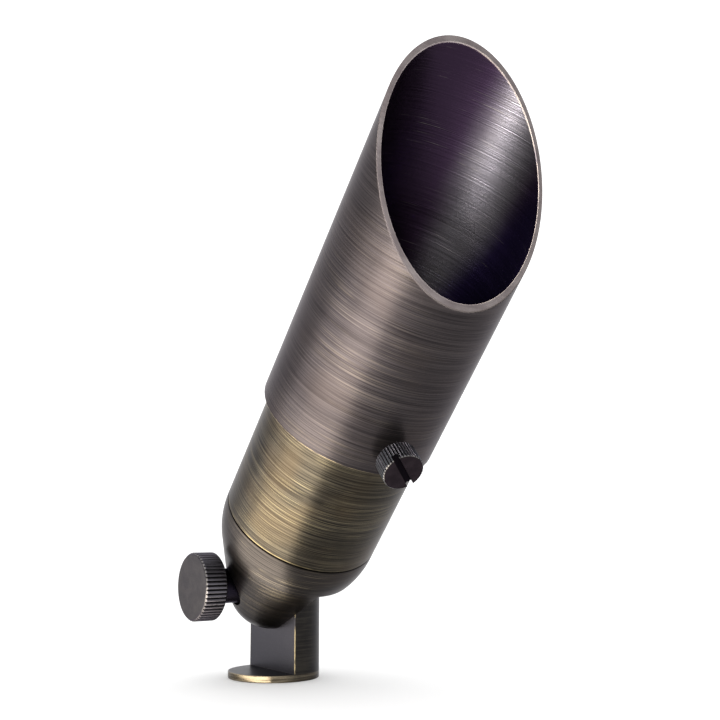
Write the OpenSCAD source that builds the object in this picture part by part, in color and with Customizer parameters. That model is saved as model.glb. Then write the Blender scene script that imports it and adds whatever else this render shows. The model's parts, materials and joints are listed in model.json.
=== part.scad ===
// Adjustable garden spotlight for a stake or a bracket.
// A half-round stem on a disc foot carries the lamp by a half-lapped knuckle,
// which a knurled thumb screw clamps. A slant-cut glare shroud slides and turns
// on the lamp tube, and a smaller slotted thumb screw clamps it.
//
// Z is up and the origin is the centre of the foot's underside. The lamp leans
// towards +X, and the knuckle screw's head points to -Y. "Station" is a distance
// along the lamp axis from the knuckle's pivot.

/* [Pose] */
// Lean of the lamp from upright, as it stands in the picture
lean_angle = 41.65; // [-90:0.05:90]
// Turn of the shroud about the lamp axis, towards the knuckle screw
shroud_turn = 5.5; // [-180:0.5:180]

/* [Foot and stem] */
// Radius of the disc foot and of the stem that rises from it
stem_r = 16.5; // [14:0.1:20]
// Thickness of the disc foot
foot_t = 2.5; // [2:0.1:5]
// Bevel on the foot's two rims
foot_bevel = 0.3; // [0.1:0.05:0.6]
// Height of the pivot above the foot's underside
pivot_h = 33.1; // [31:0.1:45]
// Distance of the half-lap plane in front of the stem's axis
lap_offset = 0.9; // [0:0.1:2]
// Gap between the two lapped faces
lap_gap = 0.05; // [0.02:0.01:0.2]
// Inner radius of the ring-shaped wire groove in the stem's lapped face
groove_in_r = 8; // [7:0.1:9]
// Outer radius of the wire groove
groove_out_r = 13; // [12:0.1:14]
// Depth of the wire groove
groove_d = 5.8; // [4:0.1:7]
// Radius of the wire bore that runs up the stem
wire_r = 2.6; // [2:0.1:3]
// Distance of the wire bore behind the lapped face
wire_back = 5.1; // [4:0.1:6]
// Radius of the two tapped holes in the foot's underside
foot_hole_r = 2.1; // [1.5:0.1:2.6]
// Depth of the two tapped holes
foot_hole_d = 12; // [8:0.5:16]
// Half the distance between the two tapped holes
foot_hole_x = 9; // [8:0.5:10]
// Distance of the tapped holes behind the lapped face
foot_hole_back = 8.4; // [7:0.1:10]

/* [Rear cap] */
// Radius of the rounded nose about the pivot
nose_r = 16; // [15:0.1:18]
// Half angle of the cone between the nose and the rounded corner
cone_angle = 23.5; // [18:0.5:28]
// Radius of the rounded corner that blends the cone into the tube
corner_r = 31.4; // [24:0.1:40]
// Length of the straight land before the seam
cap_land = 2.2; // [1:0.1:5]
// Gap between the stem's rounded top and the cap's shoulder
shoulder_gap = 2.4; // [1:0.1:5]
// Thickness of the floor above the shoulder
cap_floor_t = 7.1; // [5:0.1:9]
// Bevel on each side of the seam
seam_bevel = 0.45; // [0.2:0.05:0.8]
// Length of the spigot that carries the lamp tube
spigot_len = 13.7; // [10:0.1:18]
// Wall of the spigot
spigot_wall = 4; // [3:0.1:6]
// Station of the wire groove's near end in the cap's lapped face
lead_start = 8; // [7.5:0.1:9]
// Distance of the wire groove's axis behind the cap's lapped face
lead_back = 1.8; // [1.4:0.1:2.4]

/* [Lamp tube] */
// Radial gap between the reflector lamp and the tube's bore
lamp_gap = 0.75; // [0.3:0.05:3]
// Wall of the lamp tube
body_wall = 2.2; // [2.2:0.1:2.6]
// Length of the lamp tube from the seam to its front end
body_len = 76.3; // [75:0.1:100]
// Step outwards from the tube's bore to the lens recess
recess_step = 1; // [0.8:0.1:1.2]

/* [Seals] */
// Section radius of the cap's ring seal
cap_seal_r = 0.9; // [0.7:0.05:1.1]
// Distance of the cap's ring seal from the seam
cap_seal_at = 7.7; // [5:0.1:9]
// Section radius of the two ring seals under the shroud
glide_seal_r = 0.93; // [0.7:0.01:0.95]
// Distance between the two ring seals under the shroud
glide_seal_gap = 3.5; // [3:0.1:5]
// Distance of the front ring seal behind the lens recess
glide_seal_back = 2.6; // [2:0.1:4]
// How much wider each seal's groove is than the seal
seal_slack = 0.5; // [0.2:0.1:1]

/* [Lens] */
// Thickness of the flat glass lens
lens_t = 3; // [2:0.1:4]
// Thickness of the lens gasket
gasket_t = 1; // [0.6:0.1:1.5]
// Width of the lens gasket
gasket_w = 2.2; // [1.6:0.1:3]
// Thickness of the threaded ring that holds the lens
ring_t = 2; // [1.5:0.1:3]
// Width of the threaded ring
ring_w = 2.4; // [1.8:0.1:3.5]
// Width of the two spanner notches in the threaded ring
ring_notch_w = 3; // [2:0.1:4]
// Depth of the spanner notches along the lamp axis
ring_notch_d = 1.2; // [0.6:0.1:1.4]

/* [Shroud] */
// Radial gap between the lamp tube and the shroud
shroud_gap = 0.88; // [0.7:0.01:1.2]
// Wall of the shroud
shroud_wall = 1.6; // [1.2:0.1:2.5]
// Length of tube inside the shroud, from its rear edge to the tube's front end
shroud_lap = 31.7; // [20:0.1:50]
// Length of the shroud at its axis
shroud_len = 93; // [85:0.5:120]
// Angle of the slanting cut from square
cut_angle = 45.9; // [20:0.1:50]
// Bevel on the shroud's rear rim
shroud_bevel = 0.35; // [0.1:0.05:0.6]

/* [Knuckle screw] */
// Radius of the knurled head
knob_r = 11.9; // [10:0.05:14]
// Thickness of the knurled head
knob_t = 8.25; // [6:0.05:10]
// Number of teeth in the head's straight knurl
knob_teeth = 51; // [40:1:60]
// Depth of the knurl
knob_knurl_d = 0.5; // [0.3:0.05:0.8]
// Bevel on the head's rims
knob_bevel = 0.6; // [0.3:0.05:1]
// Distance from the half-lap plane to the back of the head
knob_out = 24.15; // [22:0.05:30]
// Radius of the screw's neck
neck_r = 6.1; // [5.5:0.05:6.4]
// Radius of the counterbore that the neck enters
neck_bore_r = 7; // [6.8:0.05:7.4]
// Distance from the half-lap plane to the counterbore's floor
neck_floor = 8; // [6:0.1:10]
// Radius of the threaded shank
shank_r = 4; // [3.5:0.05:4.2]
// Length of the shank inside the stem
shank_in = 10.4; // [8:0.1:12]
// Clear depth beyond the shank's end
shank_spare = 1.1; // [0.5:0.1:3]
// Thickness of the steel washer under the neck
washer_t = 1; // [0.6:0.1:1.5]
// Radial gap of a turning or sliding fit
fit_gap = 0.05; // [0.02:0.01:0.1]

/* [Shroud screw] */
// Distance of the screw's axis from the shroud's rear edge
clamp_at = 9.3; // [8:0.1:15]
// Radius of the knurled head
clamp_r = 6.65; // [5:0.05:7.5]
// Thickness of the knurled head
clamp_t = 7.1; // [5:0.05:8]
// Number of teeth in the head's straight knurl
clamp_teeth = 40; // [32:1:48]
// Depth of the knurl
clamp_knurl_d = 0.3; // [0.15:0.01:0.4]
// Bevel on the head's rims
clamp_bevel = 0.35; // [0.1:0.05:0.6]
// Gap from the shroud's wall to the back of the head
clamp_out = 3; // [2:0.1:5]
// Radius of the neck behind the head
clamp_neck_r = 3.1; // [2.6:0.05:4]
// Length of the neck behind the head
clamp_neck_l = 2; // [1:0.1:2]
// Radius of the threaded shank
clamp_shank_r = 2; // [1.5:0.05:2.5]
// Radius of the nylon pad under the shank's tip
pad_r = 1.9; // [1.4:0.05:1.95]
// Thickness of the nylon pad
pad_t = 1; // [0.8:0.05:1.4]
// Width of the screwdriver slot
slot_w = 2; // [1:0.05:2.5]
// Depth of the screwdriver slot
slot_d = 2.9; // [1:0.05:3.5]
// Turn of the slot from the lamp axis
slot_turn = 45; // [0:1:180]

/* [Lamp and socket] */
// Radius of the reflector lamp's rim, which the tube and the cap follow
reflector_r = 24.75; // [17:0.05:28]
// Depth of the reflector's bowl
bowl_d = 24; // [20:0.1:30]
// Radius of the bowl's neck
bowl_neck_r = 8.5; // [7:0.1:9.5]
// Wall of the bowl
bowl_wall = 1.8; // [1.2:0.1:2]
// Height of the straight rim above the bowl
rim_h = 3; // [2:0.1:4]
// Thickness of the lamp's own cover glass
cover_t = 1.5; // [1:0.1:2]
// Radius of the light capsule
capsule_r = 4.5; // [3.5:0.1:4.8]
// Height of the light capsule
capsule_h = 16; // [12:0.5:20]
// Width, depth and height of the lamp's ceramic base
lamp_base_size = [15, 10, 12]; // [8:0.5:16]
// Radius of the two lamp pins
pin_r = 0.8; // [0.6:0.05:0.85]
// Length of the lamp pins
pin_len = 7; // [5:0.5:7.5]
// Half the distance between the lamp pins
pin_x = 2.67; // [2.5:0.01:3]
// Width, depth and height of the ceramic socket
socket_size = [20, 11, 13]; // [10:0.5:22]
// Depth of the pin holes in the socket
pin_hole_d = 8; // [7.6:0.1:9]
// Gap along the axis between the lamp's cover glass and the lens recess
lens_gap = 3.1; // [1:0.1:6]
// Thickness of the bridge's sheet metal
bridge_t = 1.2; // [1:0.1:2]
// Width of the bridge's strip
bridge_w = 12; // [10:0.5:14]
// Half the width of the bridge between its legs' outer faces
bridge_x = 11.2; // [10.8:0.1:12]
// Length of each of the bridge's feet
bridge_foot = 7; // [6:0.1:8]
// Radius of the small screws' shanks
small_screw_r = 1.2; // [1:0.05:1.4]
// Length of the small screws' shanks
small_screw_l = 5; // [4:0.1:5.5]
// Radius of the small screws' pan heads
pan_r = 2.6; // [2:0.1:2.8]
// Height of the small screws' pan heads
pan_h = 1.7; // [1.2:0.1:2]

/* [Wire bushings] */
// Radius of the foot's wire bushing
foot_bush_r = 3.6; // [3.3:0.1:4]
// Length of the foot's wire bushing
foot_bush_l = 4; // [3:0.1:6]
// Radius of the wire's way through either bushing
bush_bore_r = 2.1; // [1.5:0.1:2.3]
// Depth of the foot bushing's face inside the foot
foot_bush_in = 0.2; // [0.1:0.1:1]
// Radius of the cap's wire bushing
cap_bush_r = 4.2; // [3.6:0.1:4.6]
// Length of the cap bushing inside its seat
cap_bush_l = 2.5; // [2:0.1:4]
// Radius of the cap bushing's flange
cap_flange_r = 5.2; // [4.8:0.1:6]
// Thickness of the cap bushing's flange
cap_flange_t = 1; // [0.6:0.1:1.5]

/* [Hidden] */
$fn = 96;
// Overshoot of a cutting tool past the face that it opens
over = 1;
// Steps in each arc of the cap's outline
arc_steps = 20;
// Tube, sized by the lamp inside it
bore_r = reflector_r + lamp_gap;
body_r = bore_r + body_wall;
// Pivot and lap
pivot_y = -lap_offset;
stem_face_y = pivot_y + lap_gap;
top_z = pivot_h + stem_r;
wire_y = stem_face_y + wire_back;
groove_mid_r = (groove_in_r + groove_out_r) / 2;
wire_top = pivot_h - groove_mid_r + wire_r / 2;
shoulder_s = stem_r + shoulder_gap;
// Cap outline: the cone touches the nose, and the corner arc touches cone and tube
corner_x = body_r - corner_r;
corner_s = (corner_x * cos(cone_angle) - (nose_r - corner_r)) / sin(cone_angle);
seam_s = corner_s + cap_land;
floor_s = shoulder_s + cap_floor_t;
// Tube's spigot and front end
spigot_r = bore_r - fit_gap;
cavity_r = spigot_r - spigot_wall;
front_s = seam_s + body_len;
recess_r = bore_r + recess_step;
recess_s = front_s - ring_t - lens_t - gasket_t;
// Shroud
shroud_in_r = body_r + shroud_gap;
shroud_out_r = shroud_in_r + shroud_wall;
shroud_s = front_s - shroud_lap;
cut_s = shroud_s + shroud_len;
clamp_s = shroud_s + clamp_at;
reach = 3 * shroud_out_r;
// Seals
cap_seal_s = seam_s + cap_seal_at;
cap_groove_r = spigot_r - 2 * cap_seal_r;
cap_seal_mid = (cap_groove_r + bore_r) / 2;
seal_half = cap_seal_r + seal_slack / 2;
glide_front_s = recess_s - glide_seal_back;
glide_rear_s = glide_front_s - glide_seal_gap;
glide_mid = shroud_in_r - fit_gap - glide_seal_r;
glide_groove_r = glide_mid - glide_seal_r - fit_gap;
// Screws
head_top = knob_out + knob_t;
neck_bottom = neck_floor + washer_t;
clamp_back_r = shroud_out_r + clamp_out;
pad_s = body_r + fit_gap;
clamp_tip_r = pad_s + pad_t;
// Lamp and socket
rim_s = recess_s - lens_gap - cover_t - rim_h;
bowl_s = rim_s - bowl_d;
socket_top = bowl_s - lamp_base_size[2];
bridge_top = socket_top - socket_size[2];
bridge_h = bridge_top - floor_s;
bowl_mid = (reflector_r * reflector_r + bowl_d * bowl_d - bowl_neck_r * bowl_neck_r) / (2 * bowl_d);
bowl_r = sqrt(bowl_neck_r * bowl_neck_r + bowl_mid * bowl_mid);
foot_screw_x = bridge_x + bridge_foot / 2;

// Frames: the lamp's own axis, the turned shroud, the two screws

module lamp_frame() {
    translate([0, pivot_y, pivot_h]) rotate([0, lean_angle, 0]) children();
}

module shroud_frame() {
    lamp_frame() rotate([0, 0, -shroud_turn]) children();
}

module knuckle_frame() {
    translate([0, pivot_y, pivot_h]) rotate([90, 0, 0]) children();
}

module clamp_frame() {
    shroud_frame() translate([0, 0, clamp_s]) rotate([0, 90, 0]) children();
}

// Shared shapes

// A disc with a straight knurl round its edge and a bevel on both rims
module knurled_disc(r, t, teeth, depth, bevel) {
    step = 360 / teeth;
    ridge_share = 0.3;
    intersection() {
        linear_extrude(t) polygon([
            for (i = [0 : teeth - 1], k = [0 : 2])
                let (a = (i + (k == 0 ? -ridge_share : k == 1 ? ridge_share : 0.5)) * step)
                let (d = k == 2 ? r - depth : r)
                [d * cos(a), d * sin(a)]
        ]);
        rotate_extrude() polygon([
            [0, 0],
            [r - bevel, 0],
            [r + bevel, 2 * bevel],
            [r + bevel, t - 2 * bevel],
            [r - bevel, t],
            [0, t]
        ]);
    }
}

// A ring of rectangular section
module flat_ring(inner, outer, h) {
    rotate_extrude() polygon([[inner, 0], [outer, 0], [outer, h], [inner, h]]);
}

// A ring seal of round section
module seal(mid, r) {
    rotate_extrude() translate([mid, 0]) circle(r);
}

// A pan-headed screw, pointing down, with its head's seat at zero
module small_screw() {
    translate([0, 0, -small_screw_l]) cylinder(r = small_screw_r, h = small_screw_l);
    difference() {
        cylinder(r1 = pan_r, r2 = pan_r - pan_h / 3, h = pan_h);
        for (a = [0, 90])
            rotate([0, 0, a])
                translate([-pan_r / 2, -pan_h / 6, pan_h / 2])
                    cube([pan_r, pan_h / 3, pan_h]);
    }
}

// Foot and stem

// Half of a round bar, flat towards the knuckle screw, with a full round top
module stem_bar() {
    intersection() {
        cylinder(r = stem_r, h = top_z);
        translate([-stem_r, stem_face_y, 0]) cube([2 * stem_r, 2 * stem_r, top_z]);
        union() {
            translate([-stem_r, -stem_r, 0]) cube([2 * stem_r, 2 * stem_r, pivot_h]);
            translate([0, stem_r, pivot_h]) rotate([90, 0, 0]) cylinder(r = stem_r, h = 2 * stem_r);
        }
    }
}

module knuckle_stem() {
    color([0.36, 0.34, 0.31]) difference() {
        union() {
            rotate_extrude() polygon([
                [0, 0],
                [stem_r - foot_bevel, 0],
                [stem_r, foot_bevel],
                [stem_r, foot_t - foot_bevel],
                [stem_r - foot_bevel, foot_t],
                [0, foot_t]
            ]);
            stem_bar();
        }
        // Tapped cross hole for the knuckle screw
        translate([0, stem_face_y - over, pivot_h]) rotate([-90, 0, 0])
            cylinder(r = shank_r + fit_gap, h = over + shank_in + shank_spare);
        // Ring-shaped groove that lets the wire follow the lamp's lean
        translate([0, stem_face_y + groove_d, pivot_h]) rotate([90, 0, 0])
            flat_ring(groove_in_r, groove_out_r, groove_d + over);
        // Wire bore, with a seat for its bushing
        translate([0, wire_y, -over]) cylinder(r = wire_r, h = wire_top + over);
        translate([0, wire_y, -over]) cylinder(r = foot_bush_r, h = foot_bush_in + foot_bush_l + over);
        // Two tapped holes that take the stake's or the bracket's screws
        for (s = [-1, 1])
            translate([s * foot_hole_x, stem_face_y + foot_hole_back, -over])
                cylinder(r = foot_hole_r, h = foot_hole_d + over);
    }
}

module foot_bushing() {
    color([0.06, 0.06, 0.06])
        translate([0, wire_y, foot_bush_in])
            flat_ring(bush_bore_r, foot_bush_r, foot_bush_l);
}

// Knuckle screw and its washer

module knuckle_washer() {
    color([0.55, 0.55, 0.56])
        knuckle_frame()
            translate([0, 0, neck_floor])
                flat_ring(shank_r + fit_gap, neck_bore_r - 2 * fit_gap, washer_t);
}

module knuckle_screw() {
    color([0.17, 0.16, 0.17]) knuckle_frame() {
        translate([0, 0, knob_out]) knurled_disc(knob_r, knob_t, knob_teeth, knob_knurl_d, knob_bevel);
        translate([0, 0, neck_bottom]) cylinder(r = neck_r, h = knob_out - neck_bottom);
        translate([0, 0, -shank_in]) cylinder(r = shank_r, h = shank_in + neck_bottom);
    }
}

// Rear cap

// Points along an arc, from one angle to another
function arc(x, s, r, from, to) = [
    for (i = [0 : arc_steps])
        let (a = from + (to - from) * i / arc_steps) [x + r * cos(a), s + r * sin(a)]
];

// Outline of the cap: round nose, cone, rounded corner, short land, grooved spigot and hollow
module cap_outline() {
    polygon(concat(
        arc(0, 0, nose_r, -90, -cone_angle),
        arc(corner_x, corner_s, corner_r, -cone_angle, 0),
        [
            [body_r, seam_s - seam_bevel],
            [body_r - seam_bevel, seam_s],
            [spigot_r, seam_s],
            [spigot_r, cap_seal_s - seal_half],
            [cap_groove_r, cap_seal_s - seal_half],
            [cap_groove_r, cap_seal_s + seal_half],
            [spigot_r, cap_seal_s + seal_half],
            [spigot_r, seam_s + spigot_len],
            [cavity_r, seam_s + spigot_len],
            [cavity_r, floor_s],
            [0, floor_s]
        ]
    ));
}

module rear_cap() {
    color([0.40, 0.36, 0.31]) difference() {
        lamp_frame() difference() {
            rotate_extrude() cap_outline();
            // The far half is cut away up to the shoulder, to lap the stem
            translate([-reach, 0, -reach]) cube([2 * reach, reach, reach + shoulder_s]);
            // Wire groove in the lapped face, running into the hollow
            translate([0, -lead_back, lead_start]) cylinder(r = wire_r, h = floor_s - lead_start + over);
            translate([0, -lead_back, floor_s - cap_bush_l]) cylinder(r = cap_bush_r, h = cap_bush_l + over);
            for (s = [-1, 1])
                translate([s * foot_screw_x, 0, floor_s - small_screw_l])
                    cylinder(r = small_screw_r + fit_gap, h = small_screw_l + over);
        }
        knuckle_frame() {
            translate([0, 0, neck_floor]) cylinder(r = neck_bore_r, h = body_r);
            translate([0, 0, -over]) cylinder(r = shank_r + fit_gap, h = neck_floor + 2 * over);
        }
    }
}

module cap_bushing() {
    color([0.06, 0.06, 0.06]) lamp_frame() translate([0, -lead_back, floor_s - cap_bush_l]) {
        flat_ring(bush_bore_r, cap_bush_r, cap_bush_l);
        translate([0, 0, cap_bush_l]) flat_ring(bush_bore_r, cap_flange_r, cap_flange_t);
    }
}

module cap_seal() {
    color([0.08, 0.08, 0.08]) lamp_frame() translate([0, 0, cap_seal_s]) seal(cap_seal_mid, cap_seal_r);
}

// Lamp tube

module lamp_tube() {
    color([0.52, 0.44, 0.30]) lamp_frame() rotate_extrude() difference() {
        polygon([
            [bore_r, seam_s],
            [body_r - seam_bevel, seam_s],
            [body_r, seam_s + seam_bevel],
            [body_r, front_s - seam_bevel],
            [body_r - seam_bevel, front_s],
            [recess_r, front_s],
            [recess_r, recess_s],
            [bore_r, recess_s]
        ]);
        for (s = [glide_rear_s, glide_front_s])
            translate([glide_groove_r, s - glide_seal_r - seal_slack / 2])
                square([body_wall + over, 2 * glide_seal_r + seal_slack]);
    }
}

module lens_gasket() {
    color([0.15, 0.15, 0.15]) lamp_frame() translate([0, 0, recess_s])
        flat_ring(recess_r - fit_gap - gasket_w, recess_r - fit_gap, gasket_t);
}

module lens() {
    color([0.75, 0.82, 0.84, 0.4]) lamp_frame() translate([0, 0, recess_s + gasket_t])
        cylinder(r = recess_r - fit_gap, h = lens_t);
}

module lens_ring() {
    color([0.52, 0.44, 0.30]) lamp_frame() translate([0, 0, front_s - ring_t]) difference() {
        flat_ring(recess_r - fit_gap - ring_w, recess_r - fit_gap, ring_t);
        translate([-recess_r, -ring_notch_w / 2, ring_t - ring_notch_d])
            cube([2 * recess_r, ring_notch_w, ring_notch_d + over]);
    }
}

// Reflector lamp and its socket

module reflector() {
    color([0.80, 0.80, 0.82]) lamp_frame() translate([0, 0, bowl_s]) rotate_extrude() union() {
        difference() {
            intersection() {
                translate([0, bowl_mid]) circle(bowl_r);
                square([reflector_r, bowl_d]);
            }
            translate([0, bowl_mid]) circle(bowl_r - bowl_wall);
            square([capsule_r + fit_gap, bowl_wall]);
        }
        translate([reflector_r - bowl_wall, bowl_d]) square([bowl_wall, rim_h]);
    }
}

module cover_glass() {
    color([0.78, 0.85, 0.88, 0.4]) lamp_frame() translate([0, 0, rim_s + rim_h])
        cylinder(r = reflector_r, h = cover_t);
}

module light_capsule() {
    color([0.92, 0.90, 0.80]) lamp_frame() translate([0, 0, bowl_s]) {
        cylinder(r = capsule_r, h = capsule_h - capsule_r);
        translate([0, 0, capsule_h - capsule_r]) sphere(capsule_r);
    }
}

module lamp_base() {
    color([0.90, 0.88, 0.84]) lamp_frame()
        translate([-lamp_base_size[0] / 2, -lamp_base_size[1] / 2, socket_top])
            cube(lamp_base_size);
}

module lamp_pins() {
    color([0.75, 0.75, 0.76]) lamp_frame()
        for (s = [-1, 1])
            translate([s * pin_x, 0, socket_top - pin_len]) cylinder(r = pin_r, h = pin_len);
}

module socket() {
    color([0.93, 0.92, 0.89]) lamp_frame() difference() {
        translate([-socket_size[0] / 2, -socket_size[1] / 2, bridge_top]) cube(socket_size);
        for (s = [-1, 1])
            translate([s * pin_x, 0, socket_top - pin_hole_d])
                cylinder(r = pin_r + fit_gap, h = pin_hole_d + over);
        translate([0, 0, bridge_top - over])
            cylinder(r = small_screw_r + fit_gap, h = small_screw_l - bridge_t + over);
    }
}

// Hat-shaped strip: two feet, two legs and the bridge that the socket stands on
module socket_bridge() {
    color([0.66, 0.67, 0.68]) lamp_frame() difference() {
        translate([0, bridge_w / 2, floor_s]) rotate([90, 0, 0]) linear_extrude(bridge_w) polygon([
            [-bridge_x - bridge_foot, 0],
            [-bridge_x + bridge_t, 0],
            [-bridge_x + bridge_t, bridge_h - bridge_t],
            [bridge_x - bridge_t, bridge_h - bridge_t],
            [bridge_x - bridge_t, 0],
            [bridge_x + bridge_foot, 0],
            [bridge_x + bridge_foot, bridge_t],
            [bridge_x, bridge_t],
            [bridge_x, bridge_h],
            [-bridge_x, bridge_h],
            [-bridge_x, bridge_t],
            [-bridge_x - bridge_foot, bridge_t]
        ]);
        for (s = [-1, 1])
            translate([s * foot_screw_x, 0, floor_s - over])
                cylinder(r = small_screw_r + fit_gap, h = bridge_t + 2 * over);
        translate([0, 0, bridge_top - bridge_t - over])
            cylinder(r = small_screw_r + fit_gap, h = bridge_t + 2 * over);
    }
}

module bridge_screw(side) {
    color([0.70, 0.70, 0.72]) lamp_frame()
        translate([side * foot_screw_x, 0, floor_s + bridge_t]) small_screw();
}

module socket_screw() {
    color([0.70, 0.70, 0.72]) lamp_frame()
        translate([0, 0, bridge_top - bridge_t]) mirror([0, 0, 1]) small_screw();
}

// Glide seals, shroud and shroud screw

module glide_seal(s) {
    color([0.08, 0.08, 0.08]) lamp_frame() translate([0, 0, s]) seal(glide_mid, glide_seal_r);
}

module shroud() {
    color([0.33, 0.29, 0.29]) difference() {
        shroud_frame() difference() {
            rotate_extrude() polygon([
                [shroud_in_r, shroud_s],
                [shroud_out_r - shroud_bevel, shroud_s],
                [shroud_out_r, shroud_s + shroud_bevel],
                [shroud_out_r, cut_s + reach],
                [shroud_in_r, cut_s + reach]
            ]);
            translate([0, 0, cut_s]) rotate([0, cut_angle, 0])
                translate([-2 * reach, -reach, 0]) cube([4 * reach, 2 * reach, 3 * reach]);
        }
        clamp_frame() cylinder(r = clamp_shank_r + fit_gap, h = 2 * shroud_out_r);
    }
}

module clamp_pad() {
    color([0.85, 0.84, 0.80]) clamp_frame() translate([0, 0, pad_s]) cylinder(r = pad_r, h = pad_t);
}

module shroud_screw() {
    color([0.19, 0.18, 0.19]) clamp_frame() {
        translate([0, 0, clamp_back_r]) difference() {
            knurled_disc(clamp_r, clamp_t, clamp_teeth, clamp_knurl_d, clamp_bevel);
            rotate([0, 0, slot_turn]) translate([-2 * clamp_r, -slot_w / 2, clamp_t - slot_d])
                cube([4 * clamp_r, slot_w, slot_d + over]);
        }
        translate([0, 0, clamp_back_r - clamp_neck_l]) cylinder(r = clamp_neck_r, h = clamp_neck_l);
        translate([0, 0, clamp_tip_r])
            cylinder(r = clamp_shank_r, h = clamp_back_r - clamp_neck_l - clamp_tip_r);
    }
}

knuckle_stem();
foot_bushing();
knuckle_washer();
knuckle_screw();
rear_cap();
cap_bushing();
cap_seal();
lamp_tube();
lens_gasket();
lens();
lens_ring();
reflector();
cover_glass();
light_capsule();
lamp_base();
lamp_pins();
socket();
socket_bridge();
bridge_screw(-1);  // bridge_screw_left
bridge_screw(1);  // bridge_screw_right
socket_screw();
glide_seal(glide_rear_s);  // glide_seal_rear
glide_seal(glide_front_s);  // glide_seal_front
shroud();
clamp_pad();
shroud_screw();
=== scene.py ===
import json
import math

import bmesh
import bpy
from mathutils import Matrix, Vector

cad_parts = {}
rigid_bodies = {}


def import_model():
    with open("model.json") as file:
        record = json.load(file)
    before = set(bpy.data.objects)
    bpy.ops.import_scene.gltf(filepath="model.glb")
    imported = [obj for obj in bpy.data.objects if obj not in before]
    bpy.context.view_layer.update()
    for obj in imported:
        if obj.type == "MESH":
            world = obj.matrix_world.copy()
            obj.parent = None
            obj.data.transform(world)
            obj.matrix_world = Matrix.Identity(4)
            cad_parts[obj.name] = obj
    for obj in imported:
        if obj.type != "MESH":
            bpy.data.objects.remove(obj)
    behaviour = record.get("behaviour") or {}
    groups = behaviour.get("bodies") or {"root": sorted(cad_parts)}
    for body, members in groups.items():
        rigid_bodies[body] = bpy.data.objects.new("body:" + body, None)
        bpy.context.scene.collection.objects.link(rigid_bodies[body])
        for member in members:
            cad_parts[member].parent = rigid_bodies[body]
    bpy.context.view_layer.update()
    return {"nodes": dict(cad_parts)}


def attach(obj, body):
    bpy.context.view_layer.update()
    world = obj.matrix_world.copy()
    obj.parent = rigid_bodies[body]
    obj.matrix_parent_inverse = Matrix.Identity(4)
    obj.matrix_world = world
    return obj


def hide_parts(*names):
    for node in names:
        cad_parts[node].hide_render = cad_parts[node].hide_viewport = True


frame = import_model()
print("frame loaded:", len(frame["nodes"]), "nodes")

mm = 0.001
sameSpot = 0.0005  # vertices this close, in mm, are one

# How the lamp stands, in mm and degrees: its pivot, its lean, the shroud's own turn on it, and the clamp
# screw's height along it
stand = {
    "pivot": (0, -0.9, 33.1),
    "lean": 41.65,
    "shroudTurn": 5.5,
    "clampStation": 86.211,
}
quarterTurn = math.radians(90)
pivot = Vector(stand["pivot"]) * mm
lampFrame = Matrix.Translation(pivot) @ Matrix.Rotation(math.radians(stand["lean"]), 4, "Y")
shroudFrame = lampFrame @ Matrix.Rotation(math.radians(-stand["shroudTurn"]), 4, "Z")
knuckleFrame = Matrix.Translation(pivot) @ Matrix.Rotation(quarterTurn, 4, "X")
upToClamp = Matrix.Translation((0, 0, stand["clampStation"] * mm))
clampFrame = shroudFrame @ upToClamp @ Matrix.Rotation(quarterTurn, 4, "Y")
footFrame = Matrix.Identity(4)


class Value:  # one shader socket; sums on it add their own Math nodes
    def __init__(self, finish, socket):
        self.finish = finish
        self.socket = socket

    def math(self, operation, *others):
        return self.finish.add("ShaderNodeMath", {"operation": operation}, dict(enumerate((self, *others))))

    def __add__(self, other):
        return self.math("ADD", other)

    __radd__ = __add__

    def __sub__(self, other):
        return self.math("SUBTRACT", other)

    def __rsub__(self, other):
        return self.finish.add("ShaderNodeMath", {"operation": "SUBTRACT"}, {0: other, 1: self})

    def __mul__(self, other):
        return self.math("MULTIPLY", other)

    __rmul__ = __mul__

    def step(self, low, high):  # 0 at low, 1 at high, smooth between; low may be above high
        return self.finish.add(
            "ShaderNodeMapRange",
            {"interpolation_type": "SMOOTHSTEP"},
            {"Value": self, "From Min": low, "From Max": high},
        )

    def near(self, place, width):  # 1 at place, 0 beyond width from it
        return (self - place).math("ABSOLUTE").step(width, width * 0.3)


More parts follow.
